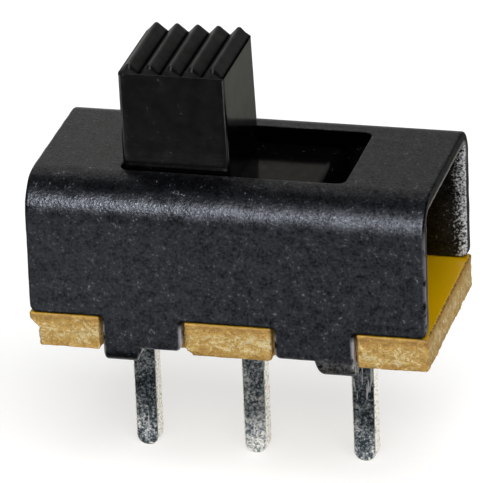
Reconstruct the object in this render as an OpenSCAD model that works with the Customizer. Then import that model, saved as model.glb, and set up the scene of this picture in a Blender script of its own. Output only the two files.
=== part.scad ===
// Subminiature single-pole two-position slide switch with straight circuit board terminals.
// A folded steel frame is crimped over a punched phenolic terminal board. A moulded slider
// runs between them and carries a sprung contact that bridges two neighbours of the three
// terminals.
// Millimetres. The origin is the middle terminal's centre in the plane of the terminal
// board's underside. +X is the way the slider travels, and +Z points up out of the knob.
// The slider is drawn at the -X end of its travel.

/* [Frame] */
// Length of the steel frame along the travel
frame_len = 13.6; // [13.4:0.1:18]
// Width over the frame's two side walls
frame_w = 7.1; // [6.6:0.02:9]
// Height of the frame from the terminal board's top to the outside of the top wall
frame_h = 4.83; // [4.6:0.01:6]
// Thickness of the steel sheet
sheet_t = 0.5; // [0.4:0.05:0.6]
// Outside radius of the front long bend
bend_r = 1.35; // [1.1:0.05:1.5]
// Outside radius of the back long bend
back_bend_r = 1; // [0.9:0.05:1.5]
// Inside radius of both long bends, which are pressed sharp
inner_bend_r = 0.3; // [0.1:0.05:0.5]
// Radius of the side walls' lower corners at the open ends
wall_corner_r = 0.25; // [0.05:0.05:0.5]
// Radius of the four corners of the slot in the top wall
slot_corner_r = 0.25; // [0.2:0.01:0.3]

/* [Holding tabs] */
// Width of each of the four tabs that hold the terminal board
tab_w = 2.7; // [2:0.1:3.2]
// Distance between the centres of the two tabs on one wall
tab_spacing = 5.9; // [5:0.1:7]
// How far a tab's straight part stops short of the board's underside
tab_short = 0.1; // [0:0.05:0.3]
// Width of the crimped ear at the outer side of each tab, at the fold
ear_w = 1.35; // [0.8:0.05:1.6]
// How much the ear narrows over its bend
ear_taper = 0.25; // [0:0.05:0.4]
// How far a crimped ear reaches inwards from the outside of its wall
ear_reach = 1.2; // [0.8:0.05:1.5]

/* [Terminal board] */
// Thickness of the terminal board
board_t = 1.19; // [0.8:0.01:1.6]
// How far the board stands out past each end of the frame
board_over = 0.05; // [0:0.05:0.3]

/* [Terminals] */
// Distance between neighbouring terminals
terminal_pitch = 3.81; // [3.6:0.01:4]
// Width of a terminal's blade
terminal_w = 0.81; // [0.5:0.01:1]
// Thickness of a terminal's blade
terminal_t = 0.65; // [0.4:0.01:0.8]
// Length of a terminal below the board's underside
terminal_len = 5.08; // [2.5:0.01:8]
// Diameter of the contact head that a terminal has on top of the board
head_d = 2.2; // [1.6:0.05:2.6]
// Thickness of the contact head
head_t = 0.3; // [0.2:0.05:0.4]
// Depth of the round hollow in the contact head that the moving contact drops into
head_dimple = 0.1; // [0.05:0.01:0.15]
// Height of the staked swelling under the board
stake_h = 0.22; // [0.1:0.01:0.4]
// How far the staked swelling stands out on each side of the blade
stake_out = 0.1; // [0.05:0.01:0.2]

/* [Knob] */
// Length of the knob along the travel, at the slot
knob_len = 3.69; // [3:0.01:4.2]
// Width of the knob across the travel, at the slot
knob_w = 3.96; // [3:0.02:4.2]
// Height from the frame's top to the bottom of the grooves on the knob
knob_h = 3.36; // [2:0.02:6]
// Draft on each side of the knob over its height
knob_draft = 0.04; // [0:0.01:0.1]
// Radius of the knob's upright edges
knob_edge_r = 0.12; // [0.05:0.01:0.18]
// Number of finger ridges across the knob's top
ridge_count = 5; // [3:1:6]
// Height of a finger ridge
ridge_h = 0.33; // [0.1:0.01:0.5]
// Width of a finger ridge's flat crest
ridge_crest = 0.12; // [0.04:0.01:0.2]
// Slope at the two ends of each ridge, measured along it
ridge_end = 0.06; // [0.02:0.02:0.4]

/* [Carriage] */
// Length of the slider's carriage, the part inside the frame
carriage_len = 9.4; // [8.6:0.1:9.5]
// Radius of the carriage's long upper edges
carriage_edge_r = 0.7; // [0.6:0.05:1]
// Radius of the carriage's corners seen from above
carriage_corner_r = 0.3; // [0.1:0.05:0.6]
// Thickness of the carriage above the spring's seat
spring_roof = 0.8; // [0.5:0.05:1.2]
// Depth of the rectangular pocket for the moving contact, above the contact's plate
pocket_depth = 0.9; // [0.7:0.05:1.2]

/* [Moving contact and its spring] */
// Length of the moving contact over its turned-up ends
contact_len = 6.4; // [5.8:0.1:7]
// Width of the moving contact
contact_w = 2.4; // [1.8:0.1:3]
// Thickness of the moving contact's strip
contact_t = 0.2; // [0.15:0.01:0.25]
// Height of the contact's turned-up ends
contact_lip = 0.8; // [0.6:0.05:0.9]
// Depth of the round contact bumps below the strip
bump_depth = 0.35; // [0.2:0.01:0.45]
// Radius of the sphere that the bumps are part of
bump_r = 0.8; // [0.6:0.05:1]
// Diameter of the pip that centres the spring
pip_d = 1.2; // [0.8:0.05:1.3]
// Height of the pip
pip_h = 0.25; // [0.1:0.05:0.4]
// Outside diameter of the contact spring
spring_d = 2.1; // [1.8:0.05:2.4]
// Diameter of the spring's wire
spring_wire = 0.22; // [0.15:0.01:0.25]
// Turns of the spring, with one closed turn at each end
spring_turns = 6; // [4:1:7]

/* [Clearances] */
// Between the knob and each end of the slot at the ends of the travel
slot_end_gap = 0.045; // [0.03:0.005:0.15]
// Between the knob and each side of the slot
slot_side_gap = 0.12; // [0.05:0.01:0.3]
// Between the carriage and the inside of the frame's top wall
top_gap = 0.15; // [0.05:0.01:0.2]
// Between the carriage and each side wall
side_gap = 0.1; // [0.05:0.01:0.2]
// Between the carriage's lower edges and the terminal board
skirt_gap = 0.15; // [0.1:0.01:0.3]
// Between the moving contact's bumps and the terminal heads
contact_gap = 0.05; // [0.03:0.01:0.1]
// Around the moving contact in its pocket, and around the spring in its bore
pocket_gap = 0.1; // [0.05:0.01:0.2]
// Between a tab and each side of its notch in the board
notch_gap = 0.1; // [0.05:0.01:0.2]
// Behind a tab and around a terminal's blade in the board
board_gap = 0.03; // [0.02:0.01:0.05]

/* [Hidden] */
$fn = 48;

// The spring's wire is a polygon with this many sides, with so many rings to a turn
WIRE_SIDES = 8;
WIRE_RINGS = 16;
// Facets of a rounded shape that is hulled
HULL_FN = 24;
// A cut runs this far past the surface that it opens
CUT = 1;

travel = terminal_pitch;
slider_x = -travel / 2;

// Levels, from the terminal tips up
tip_z = -terminal_len;
board_top = board_t;
head_top = board_top + head_t;
bump_low = head_top + contact_gap;
strip_low = bump_low + bump_depth;
strip_top = strip_low + contact_t;
frame_top = board_top + frame_h;
carriage_top = frame_top - sheet_t - top_gap;
carriage_low = board_top + skirt_gap;
channel_top = head_top + 2 * skirt_gap;
pocket_top = strip_low + pocket_depth + pocket_gap;
spring_top = carriage_top - spring_roof;
groove_z = frame_top + knob_h;

// Plan sizes that follow from the ones above
slot_len = knob_len + travel + 2 * slot_end_gap;
slot_w = knob_w + 2 * slot_side_gap;
board_len = frame_len + 2 * board_over;
carriage_w = frame_w - 2 * sheet_t - 2 * side_gap;
pocket_len = contact_len + 2 * pocket_gap;
pocket_w = contact_w + 2 * pocket_gap;
channel_w = max(head_d, pocket_w) + 2 * pocket_gap;

// A rectangle centred on X with its foot on the X axis and round upper corners. The one
// on the right may have its own radius
module round_top(width, height, r, right_r = 0) {
    radii = [r, right_r > 0 ? right_r : r];
    translate([-width / 2 + radii[0], 0]) square([width - radii[0] - radii[1], height]);
    for (side = [0, 1])
        mirror([side, 0]) {
            translate([-width / 2, 0]) square([2 * radii[side], height - radii[side]]);
            translate([-width / 2 + radii[side], height - radii[side]])
                circle(r = radii[side]);
        }
}

// A rectangle centred on the origin with four round corners
module round_plate(length, width, r) {
    square([length, width - 2 * r], center = true);
    square([length - 2 * r, width], center = true);
    for (x = [-1, 1])
        for (y = [-1, 1])
            translate([x * (length / 2 - r), y * (width / 2 - r)]) circle(r = r);
}

// Draws a section that is given in Y and Z, and runs it along X between two stations
module along_x(x_from, x_to) {
    translate([x_from, 0, 0])
        rotate([90, 0, 90]) linear_extrude(x_to - x_from) children();
}

// Draws an outline that is given in X and Z, and runs it along Y, centred on Y = 0
module across_y(width) {
    translate([0, width / 2, 0])
        rotate([90, 0, 0]) linear_extrude(width) children();
}

// The frame's outline from the side: two round-cornered walls and their tabs, with a
// fillet where each tab leaves the wall
module frame_outline() {
    translate([0, frame_top])
        mirror([0, 1]) round_top(frame_len, frame_h, wall_corner_r);
    for (tab = [-1, 1])
        translate([tab * tab_spacing / 2, 0]) {
            translate([-tab_w / 2, tab_short])
                square([tab_w, board_top - tab_short + sheet_t]);
            for (side = [-1, 1])
                translate([side * tab_w / 2, board_top])
                    difference() {
                        translate([-notch_gap, -notch_gap]) square(2 * notch_gap);
                        translate([side * notch_gap, -notch_gap]) circle(r = notch_gap);
                    }
        }
}

// The channel section of the folded sheet, open at the bottom
module frame_section() {
    difference() {
        round_top(frame_w, frame_top, bend_r, back_bend_r);
        translate([0, -CUT])
            round_top(frame_w - 2 * sheet_t, frame_top - sheet_t + CUT, inner_bend_r);
    }
}

// One crimped ear on the -Y wall: down past the board's edge, round the bend and in under
// the board. It narrows from the foot of its tab down
module ear(fold_x) {
    difference() {
        along_x(fold_x, fold_x + ear_w) {
            translate([-frame_w / 2, 0]) square([sheet_t, board_top / 2]);
            translate([-frame_w / 2 + sheet_t, 0])
                intersection() {
                    circle(r = sheet_t);
                    translate([-sheet_t, -sheet_t]) square(sheet_t);
                }
            translate([-frame_w / 2 + sheet_t, -sheet_t])
                square([ear_reach - sheet_t, sheet_t]);
        }
        across_y(frame_w + CUT)
            polygon([[fold_x - CUT, tab_short], [fold_x, tab_short],
                     [fold_x + ear_taper, -sheet_t], [fold_x + ear_taper, -sheet_t - CUT],
                     [fold_x - CUT, -sheet_t - CUT]]);
    }
}

module frame() {
    color("#2b2d30") {
        difference() {
            intersection() {
                along_x(-frame_len / 2, frame_len / 2) frame_section();
                across_y(frame_w + CUT) frame_outline();
            }
            translate([0, 0, frame_top - sheet_t - CUT])
                linear_extrude(sheet_t + 2 * CUT)
                    round_plate(slot_len, slot_w, slot_corner_r);
        }
        for (end = [0, 1])
            for (wall = [0, 1])
                mirror([end, 0, 0]) mirror([0, wall, 0])
                    ear(tab_spacing / 2 + tab_w / 2 - ear_w);
    }
}

// Places what follows at each of the four notches that hold the tabs
module at_notches() {
    for (tab = [-1, 1])
        for (wall = [-1, 1])
            translate([tab * tab_spacing / 2, wall * frame_w / 2, 0]) children();
}

module terminal_board() {
    notch_len = tab_w + 2 * notch_gap;
    notch_depth = sheet_t + board_gap;
    color("#b98f2e")
        difference() {
            translate([-board_len / 2, -frame_w / 2, 0]) cube([board_len, frame_w, board_t]);
            at_notches()
                translate([-notch_len / 2, -notch_depth, -CUT])
                    cube([notch_len, 2 * notch_depth, board_t + 2 * CUT]);
            for (i = [-1:1])
                translate([i * terminal_pitch, 0, board_t / 2])
                    cube([terminal_w + 2 * board_gap, terminal_t + 2 * board_gap,
                          board_t + 2 * CUT], center = true);
        }
}

// A terminal stamped from strip: a round-tipped blade with a staked swelling under the
// board, and a round dimpled head on top of it
module terminal(x) {
    dimple_r = bump_r + contact_gap;
    color("#a9adb0")
        translate([x, 0, 0])
            difference() {
                union() {
                    across_y(terminal_t) {
                        translate([-terminal_w / 2, tip_z + terminal_w / 2])
                            square([terminal_w, board_top + head_t / 2 - tip_z
                                    - terminal_w / 2]);
                        translate([0, tip_z + terminal_w / 2]) circle(r = terminal_w / 2);
                        polygon([[-terminal_w / 2, -stake_h],
                                 [-terminal_w / 2 - stake_out, 0],
                                 [terminal_w / 2 + stake_out, 0],
                                 [terminal_w / 2, -stake_h]]);
                    }
                    translate([0, 0, board_top]) cylinder(d = head_d, h = head_t);
                }
                translate([0, 0, head_top - head_dimple + dimple_r]) sphere(r = dimple_r);
            }
}

module terminal_left() { terminal(-terminal_pitch); }
module terminal_centre() { terminal(0); }
module terminal_right() { terminal(terminal_pitch); }

// The knob, rooted in the carriage's roof and tapered by its draft up to the grooves
module knob() {
    slab = 0.01;
    root_z = carriage_top - spring_roof / 2;
    top_len = knob_len - 2 * knob_draft;
    top_w = knob_w - 2 * knob_draft;
    hull() {
        translate([0, 0, root_z])
            linear_extrude(frame_top - root_z)
                round_plate(knob_len, knob_w, knob_edge_r, $fn = HULL_FN);
        translate([0, 0, groove_z - slab])
            linear_extrude(slab)
                round_plate(top_len, top_w, knob_edge_r, $fn = HULL_FN);
    }
    ridge_pitch = top_len / ridge_count;
    for (i = [0:ridge_count - 1])
        translate([(i - (ridge_count - 1) / 2) * ridge_pitch, 0, groove_z - slab])
            ridge(ridge_pitch - ridge_crest / 2, top_w - knob_edge_r, ridge_h + slab);
}

// One finger ridge across the knob, with a flat crest and sloped sides and ends
module ridge(foot, length, height) {
    skin = 0.001;
    hull() {
        translate([-foot / 2, -length / 2, 0]) cube([foot, length, skin]);
        translate([-ridge_crest / 2, -length / 2 + ridge_end, height - skin])
            cube([ridge_crest, length - 2 * ridge_end, skin]);
    }
}

// The carriage under the top wall: guide skirts along both sides, an open channel over
// the terminal heads, a pocket for the moving contact and a bore for its spring
module carriage() {
    height = carriage_top - carriage_low;
    difference() {
        intersection() {
            along_x(-carriage_len / 2, carriage_len / 2)
                translate([0, carriage_low]) round_top(carriage_w, height, carriage_edge_r);
            translate([0, 0, carriage_low])
                linear_extrude(height)
                    round_plate(carriage_len, carriage_w, carriage_corner_r);
        }
        translate([-carriage_len / 2 - CUT, -channel_w / 2, carriage_low - CUT])
            cube([carriage_len + 2 * CUT, channel_w, channel_top - carriage_low + CUT]);
        translate([-pocket_len / 2, -pocket_w / 2, carriage_low])
            cube([pocket_len, pocket_w, pocket_top - carriage_low]);
        translate([0, 0, strip_top])
            cylinder(d = spring_d + 2 * pocket_gap, h = spring_top - strip_top);
    }
}

module slider() {
    color("#1a1a1b")
        translate([slider_x, 0, 0]) {
            knob();
            carriage();
        }
}

// The moving contact: a tray-shaped strip with turned-up ends, two round bumps that press
// on the terminal heads, and a pip in the middle that centres the spring
module bridge_contact() {
    outer_r = 2 * contact_t;
    bump_z = bump_low + bump_r;
    color("#c98a4b")
        translate([slider_x, 0, 0])
            difference() {
                union() {
                    across_y(contact_w)
                        translate([0, strip_low + contact_lip])
                            mirror([0, 1])
                                difference() {
                                    round_top(contact_len, contact_lip, outer_r);
                                    translate([0, -CUT])
                                        round_top(contact_len - 2 * contact_t,
                                                  contact_lip - contact_t + CUT,
                                                  outer_r - contact_t);
                                }
                    for (side = [-1, 1])
                        translate([side * terminal_pitch / 2, 0, 0])
                            intersection() {
                                translate([0, 0, bump_z]) sphere(r = bump_r);
                                translate([-bump_r, -bump_r, bump_low])
                                    cube([2 * bump_r, 2 * bump_r, bump_depth + contact_t]);
                            }
                    translate([0, 0, strip_low]) cylinder(d = pip_d, h = contact_t + pip_h);
                }
                for (side = [-1, 1])
                    translate([side * terminal_pitch / 2, 0, bump_z])
                        sphere(r = bump_r - contact_t);
                translate([0, 0, strip_low - CUT])
                    cylinder(d = pip_d - 2 * contact_t, h = pip_h + CUT);
            }
}

// Height of the spring's wire after so many turns: one closed turn at each end, and the
// rest spread evenly between them
function wire_z(turn, low, high) =
    let (closed = spring_wire * 1.08)
    turn < 1 ? low + closed * turn
    : turn > spring_turns - 1 ? high - closed * (spring_turns - turn)
    : low + closed + (high - low - 2 * closed) * (turn - 1) / (spring_turns - 2);

// A compression spring of round wire between the contact and the roof of its bore
module contact_spring() {
    coil_r = (spring_d - spring_wire) / 2;
    low = strip_top + spring_wire / 2 + board_gap;
    high = spring_top - spring_wire / 2 - board_gap;
    rings = spring_turns * WIRE_RINGS;
    points = [for (i = [0:rings])
                  let (turn = i / WIRE_RINGS, z = wire_z(turn, low, high))
                      for (k = [0:WIRE_SIDES - 1])
                          let (a = 360 * k / WIRE_SIDES,
                               r = coil_r + spring_wire / 2 * cos(a))
                              [r * cos(360 * turn), r * sin(360 * turn),
                               z + spring_wire / 2 * sin(a)]];
    walls = [for (i = [0:rings - 1])
                 for (k = [0:WIRE_SIDES - 1])
                     let (next = (k + 1) % WIRE_SIDES, near = i * WIRE_SIDES,
                          far = near + WIRE_SIDES)
                         [near + k, near + next, far + next, far + k]];
    ends = [[for (k = [WIRE_SIDES - 1:-1:0]) k],
            [for (k = [0:WIRE_SIDES - 1]) rings * WIRE_SIDES + k]];
    color("#8f9498")
        translate([slider_x, 0, 0]) polyhedron(points, concat(walls, ends));
}

frame();
terminal_board();
terminal_left();
terminal_centre();
terminal_right();
slider();
bridge_contact();
contact_spring();
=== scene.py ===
import math

import bmesh
import bpy
import numpy as np
from mathutils import Matrix, Vector, noise
from mathutils.geometry import delaunay_2d_cdt


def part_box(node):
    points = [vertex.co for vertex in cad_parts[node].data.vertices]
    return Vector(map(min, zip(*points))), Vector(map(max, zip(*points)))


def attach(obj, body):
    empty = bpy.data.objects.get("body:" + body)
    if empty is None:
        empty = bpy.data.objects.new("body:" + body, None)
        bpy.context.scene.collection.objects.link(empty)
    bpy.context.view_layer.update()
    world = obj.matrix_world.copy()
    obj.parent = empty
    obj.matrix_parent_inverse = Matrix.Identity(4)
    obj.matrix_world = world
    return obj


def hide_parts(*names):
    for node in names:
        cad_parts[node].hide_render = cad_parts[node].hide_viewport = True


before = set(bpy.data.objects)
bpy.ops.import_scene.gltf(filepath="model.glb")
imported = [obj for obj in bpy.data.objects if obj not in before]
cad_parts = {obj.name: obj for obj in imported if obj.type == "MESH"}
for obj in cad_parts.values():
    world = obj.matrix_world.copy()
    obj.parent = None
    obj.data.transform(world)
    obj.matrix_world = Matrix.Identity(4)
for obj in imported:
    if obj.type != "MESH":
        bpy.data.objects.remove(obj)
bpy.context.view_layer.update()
MM = 0.001


# ---------------------------------------------------------------- Camera
# A long lens stands above the switch's front right corner, so that the steel shell's front,
# its top and its open right end all show. It leans a little to one side.
LENS_AZIMUTH = math.radians(14.83)
LENS_HEIGHT = math.radians(24.18)
LENS_LEAN = math.radians(-2.28)
LENS_MM = 432
LENS_AIM = Vector((-0.158, 0.542, 2.448)) * MM
LENS_DISTANCE = 202.3 * MM
NEAREST_SEEN = 10 * MM


def new_object(name, data):
    """A new object in the scene."""
    made = bpy.data.objects.new(name, data)
    bpy.context.scene.collection.objects.link(made)
    return made


back = Vector((
    math.sin(LENS_AZIMUTH) * math.cos(LENS_HEIGHT),
    -math.cos(LENS_AZIMUTH) * math.cos(LENS_HEIGHT),
    math.sin(LENS_HEIGHT),
))
level = Vector((math.cos(LENS_AZIMUTH), math.sin(LENS_AZIMUTH), 0))
upright = back.cross(level)
right = math.cos(LENS_LEAN) * level + math.sin(LENS_LEAN) * upright
up = back.cross(right)

camera = new_object("camera", bpy.data.cameras.new("camera"))
camera.data.lens = LENS_MM
camera.data.clip_start = NEAREST_SEEN
camera.matrix_world = Matrix.Translation(LENS_AIM + back * LENS_DISTANCE) @ Matrix(
    (right, up, back)).transposed().to_4x4()
bpy.context.scene.camera = camera


# ---------------------------------------------------------------- Terminals
# Three blades stamped from brass strip and tin plated. Each has a round tip, a staked
# swelling under the board, and a round contact head with a shallow hollow on top of it.
SMALLEST_ARC = 0.004
ARC_POINTS = 4
ROLL_STEPS = 4
# How far the flat faces and the straight side stand off a rolled edge
SUPPORT = 0.03
# The share of a run, or of a step, that is too small for a point of its own
SLACK = 0.01
SAME_SPOT = 1e-5
SHARP_ANGLE = 40


def box_of(node):
    """A CAD node's lowest and highest corner, in millimetres."""
    return [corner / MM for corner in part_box(node)]


def corner_turns(corners, inset):
    """Each corner's arc as its centre, the way to its start and its turn, set in by inset."""
    turns = []
    for i, (x, y, radius) in enumerate(corners):
        corner = Vector((x, y))
        coming = (corner - Vector(corners[i - 1][:2])).normalized()
        going = (Vector(corners[(i + 1) % len(corners)][:2]) - corner).normalized()
        mitre = (coming + going).orthogonal() / (1 + coming.dot(going))
        corner = corner + mitre * inset
        turn = -coming.angle_signed(going)
        radius = max(SMALLEST_ARC, radius - math.copysign(inset, turn)) if radius else 0
        start = -coming.orthogonal() * math.copysign(radius, turn)
        centre = corner - coming * radius * math.tan(abs(turn) / 2) - start
        turns.append((centre, start, turn, mitre))
    return turns


def run_on(turns, i):
    """The ends of the straight run that follows a corner."""
    centre, start, turn, _ = turns[i]
    next_centre, next_start, _, _ = turns[(i + 1) % len(turns)]
    return centre + Matrix.Rotation(turn, 2) @ start, next_centre + next_start


def planned(corners, folds, step):
    """A ring's points, each a corner with a share of its turn or of the straight run on."""
    turns = corner_turns(corners, 0)
    plan = []
    for i, (_, start, turn, _) in enumerate(turns):
        arc = abs(turn) * start.length
        count = max(ARC_POINTS, math.ceil(arc / step)) if arc else 0
        plan += [(i, k / count if count else 0, None) for k in range(count + 1)]
        here, there = run_on(turns, i)
        crossed = {(fold - here.y) / (there.y - here.y or 1) for fold in folds}
        crossed = sorted(share for share in crossed if SLACK < share < 1 - SLACK)
        stops = [0.0, *crossed, 1.0]
        for a, b in zip(stops, stops[1:]):
            count = max(1, math.ceil((there - here).length * (b - a) / step - SLACK))
            plan += [(i, None, a + (b - a) * k / count) for k in range(count)][a == 0:]
    return plan


def laid(plan, corners, inset):
    """A ring's points, set in by inset."""
    turns = corner_turns(corners, inset)
    ring = []
    for i, turned, share in plan:
        centre, start, turn, _ = turns[i]
        if share is None:
            ring.append(centre + Matrix.Rotation(turn * turned, 2) @ start)
        else:
            here, there = run_on(turns, i)
            ring.append(here.lerp(there, share))
    return ring


def filled(rings, lines):
    """Triangles between closed rings of points, with edges along the given lines."""
    points, edges = [], []
    for ring in rings:
        first = len(points)
        points += ring
        edges += [(first + i, first + (i + 1) % len(ring)) for i in range(len(ring))]
    walls = np.array([[*points[a], *points[b]] for a, b in edges])
    for line in lines:
        first = len(points)
        points += line
        edges += [(first + i, first + i + 1) for i in range(len(line) - 1)]
    found, _, triangles, origins, _, _ = delaunay_2d_cdt(points, edges, [], 0, SAME_SPOT)
    middles = np.array(found)[np.array(triangles)].mean(axis=1)
    x, y = middles[:, :1], middles[:, 1:]
    x0, y0, x1, y1 = walls.T
    spans = (y0 > y) != (y1 > y)
    reach = x0 + (y - y0) * (x1 - x0) / np.where(y1 == y0, 1, y1 - y0)
    inside = (spans & (x < reach)).sum(axis=1) % 2 == 1
    return [[min(origins[v]) for v in tri] for tri, keep in zip(triangles, inside) if keep]


def plate(outlines, thickness, top_roll, low_roll, step, bands=3, folds=(), lines=(),
          wear=None):
    """A stamped plate as points, faces and rim shares, in millimetres, its top at Z = 0.

    outlines are closed loops of corners (x, y, radius) with the metal on their left. Their
    edges are rounded by top_roll and low_roll, and wear(x, y, z) sets them in. They have a
    point at least every step and wherever they cross a fold. rim is 1 on the sheared edge.
    """
    straight = thickness - top_roll - low_roll - 2 * SUPPORT
    turns = [(k / ROLL_STEPS, math.pi / 2 * k / ROLL_STEPS) for k in range(ROLL_STEPS + 1)]
    profile = [(top_roll + SUPPORT, 0, 0)]
    profile += [(top_roll * (1 - math.sin(turn)), top_roll * (math.cos(turn) - 1), share)
                for share, turn in turns]
    profile += [(0, -top_roll - SUPPORT - straight * k / bands, 1) for k in range(bands + 1)]
    profile += [(low_roll * (1 - math.sin(turn)), low_roll * (1 - math.cos(turn)) - thickness,
                 share) for share, turn in turns[::-1]]
    profile.append((low_roll + SUPPORT, -thickness, 0))

    points, faces, rims = [], [], []
    sides = [(0, [], []), (-thickness, [], [])]
    for corners in outlines:
        plan = planned(corners, folds, step)
        size = len(plan)
        spots = laid(plan, corners, 0)
        mitres = [turn[3] for turn in corner_turns(corners, 0)]
        # A corner wears as one, so that its small arc doesn't fold over
        ways = []
        for (i, turned, _), spot, following in zip(plan, spots, spots[1:] + spots[:1]):
            if turned is None:
                ways.append((spot, (following - spot).normalized().orthogonal()))
            else:
                ways.append((Vector(corners[i][:2]), mitres[i]))
        starts = []
        for inset, z, rim in profile:
            starts.append(len(points))
            for spot, (place, way) in zip(laid(plan, corners, inset), ways):
                worn = spot + way * (wear(place.x, place.y, z) if wear else 0)
                points.append((worn.x, worn.y, z))
                rims.append(rim)
        for upper, lower in zip(starts, starts[1:]):
            faces += [(upper + i, lower + i, lower + (i + 1) % size, upper + (i + 1) % size)
                      for i in range(size)]
        for start, (_, rings, places) in zip((starts[0], starts[-1]), sides):
            rings.append([Vector(p[:2]) for p in points[start:start + size]])
            places += range(start, start + size)
    for z, rings, places in sides:
        for spot in (spot for line in lines for spot in line):
            places.append(len(points))
            points.append((spot.x, spot.y, z))
            rims.append(0)
        for triangle in filled(rings, lines):
            corners = [places[v] for v in triangle]
            faces.append(corners if z == 0 else corners[::-1])
    return points, faces, rims


def piece_from(name, points, faces, rims=None):
    """A new object at the origin, from points in millimetres."""
    mesh = bpy.data.meshes.new(name)
    mesh.from_pydata([Vector(p) * MM for p in points], [], faces)
    if rims:
        mesh.attributes.new("rim", "FLOAT", "POINT").data.foreach_set("value", rims)
    mesh.shade_smooth()
    mesh.set_sharp_from_angle(angle=math.radians(SHARP_ANGLE))
    return new_object(name, mesh)


def block(name, corners):
    """A solid of six flat sides. Its corners run along X, then Y, then Z."""
    return piece_from(name, corners, [(0, 2, 3, 1), (4, 5, 7, 6), (0, 1, 5, 4), (2, 6, 7, 3),
                                      (0, 4, 6, 2), (1, 3, 7, 5)])


def settled(made):
    """Turns an object's evaluated shape into its plain mesh and takes its modifiers off."""
    shape = made.evaluated_get(bpy.context.evaluated_depsgraph_get())
    mesh = bpy.data.meshes.new_from_object(shape)
    made.modifiers.clear()
    made.data = mesh
    return made


def combined(made, other, operation):
    """Adds another object's solid to this one or cuts it away, and removes the other."""
    joint = made.modifiers.new("joint", "BOOLEAN")
    joint.operation = operation
    joint.solver = "MANIFOLD"
    joint.object = other
    settled(made)
    bpy.data.objects.remove(other)
    return made


def hex_colour(text):
    """An sRGB hex colour as linear red, green, blue and alpha."""
    parts = [int(text[i:i + 2], 16) / 255 for i in (1, 3, 5)]
    return [c / 12.92 if c <= 0.04045 else ((c + 0.055) / 1.055) ** 2.4 for c in parts] + [1]


# The kinds of node that are used most
MATH = "ShaderNodeMath"
RANGE = "ShaderNodeMapRange"
MIX = "ShaderNodeMix"
NOISE = "ShaderNodeTexNoise"


def join(tree, node, inputs):
    """Gives a node's inputs their values and links.

    inputs are a dict by name, or a tuple in the order of the inputs in use. A node stands for
    its first output in use, and a text that starts with # for an sRGB colour.
    """
    if not isinstance(inputs, dict):
        in_use = [i for i, socket in enumerate(node.inputs) if socket.enabled]
        inputs = dict(zip(in_use, inputs))
    for socket, value in inputs.items():
        if isinstance(value, bpy.types.Node):
            value = next(output for output in value.outputs if output.enabled)
        if isinstance(value, bpy.types.NodeSocket):
            tree.links.new(value, node.inputs[socket])
        else:
            is_colour = str(value).startswith("#")
            node.inputs[socket].default_value = hex_colour(value) if is_colour else value


def add(tree, kind, inputs=(), stops=(), **settings):
    """Adds a node, with its settings, its input values and its links, and a ramp's stops."""
    made = tree.nodes.new(kind)
    for name, value in settings.items():
        setattr(made, name, value)
    join(tree, made, inputs)
    if stops:
        elements = made.color_ramp.elements
        elements[0].position = stops[0][0]
        elements[1].position = stops[-1][0]
        for position, _ in stops[1:-1]:
            elements.new(position)
        for element, (_, colour) in zip(elements, stops):
            element.color = hex_colour(colour)
    return made


def new_material(name):
    """A new material, its node tree and the node of its surface."""
    material = bpy.data.materials.new(name)
    material.use_nodes = True
    return material, material.node_tree, material.node_tree.nodes["Principled BSDF"]


def layered(tree, colour, layers):
    """Lays colours over a first one, each where the product of its masks says."""
    for masks, shade in layers:
        cover = masks[0]
        for mask in masks[1:]:
            cover = add(tree, MATH, (cover, mask), operation="MULTIPLY")
        colour = add(tree, MIX, (cover, colour, shade), data_type="RGBA")
    return colour


def per_mm(size):
    """The texture scale at which one cell of a pattern is so many millimetres wide."""
    return 1 / (size * MM)


def tin_plate():
    """Semi-bright tin over brass: mottled faces, pale scratches, and bright sheared sides."""
    material, tree, surface = new_material("tin_plate")
    place = add(tree, "ShaderNodeTexCoord").outputs["Object"]
    x, _, z = add(tree, "ShaderNodeSeparateXYZ", (place,)).outputs
    rim = add(tree, "ShaderNodeAttribute", attribute_name="rim").outputs["Fac"]
    # The plating's fine crystals are drawn as coarse as they need to be to show
    grain = add(tree, NOISE, {
        "Vector": place, "Scale": per_mm(0.09), "Detail": 3, "Roughness": 0.7})
    patches = add(tree, NOISE, {"Vector": place, "Scale": per_mm(0.7), "Detail": 2})
    # The middle blade is drawn paler than the others
    apart = add(tree, MATH, (x,), operation="ABSOLUTE")
    middle_paler = add(tree, RANGE, (apart, 1 * MM, 2 * MM, 0.085, 0))
    dull = add(tree, MATH, (patches, 0.45, grain), operation="MULTIPLY_ADD")
    both = add(tree, MATH, (dull, middle_paler))
    tone = add(tree, "ShaderNodeValToRGB", (both,), stops=(
        (0.63, "#33393d"), (0.76, "#7c848a"), (0.95, "#f2f0ea")))
    # The right blade is scratched lengthways near the board
    drawn = add(tree, "ShaderNodeMapping", {"Vector": place, "Scale": (1, 1, 0.12)})
    scratches = add(tree, NOISE, {"Vector": drawn, "Scale": per_mm(0.1), "Detail": 1})
    rightward = add(tree, RANGE, (x, 3 * MM, 3.2 * MM))
    upward = add(tree, RANGE, (z, -3.4 * MM, -2.4 * MM, 0, 0.14))
    drags = add(tree, MATH, (rightward, upward, scratches), operation="MULTIPLY_ADD")
    scored = add(tree, RANGE, (drags, 0.72, 0.78))
    # The sheared sides are bright and finely pitted
    side = add(tree, RANGE, (rim, 0.1, 0.5))
    pitted = add(tree, RANGE, (grain, 0.5, 0.62))
    edge = add(tree, MIX, (pitted, "#f9f6ec", "#8f8c80"), data_type="RGBA")
    colour = layered(tree, tone, (((scored,), "#f4f2ee"), ((side,), edge)))
    relief = add(tree, "ShaderNodeBump", {"Height": grain, "Strength": 0.5, "Distance": 0.02 * MM})
    join(tree, surface, {
        "Base Color": colour, "Metallic": 1, "Roughness": 0.34, "Normal": relief})
    return material


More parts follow.
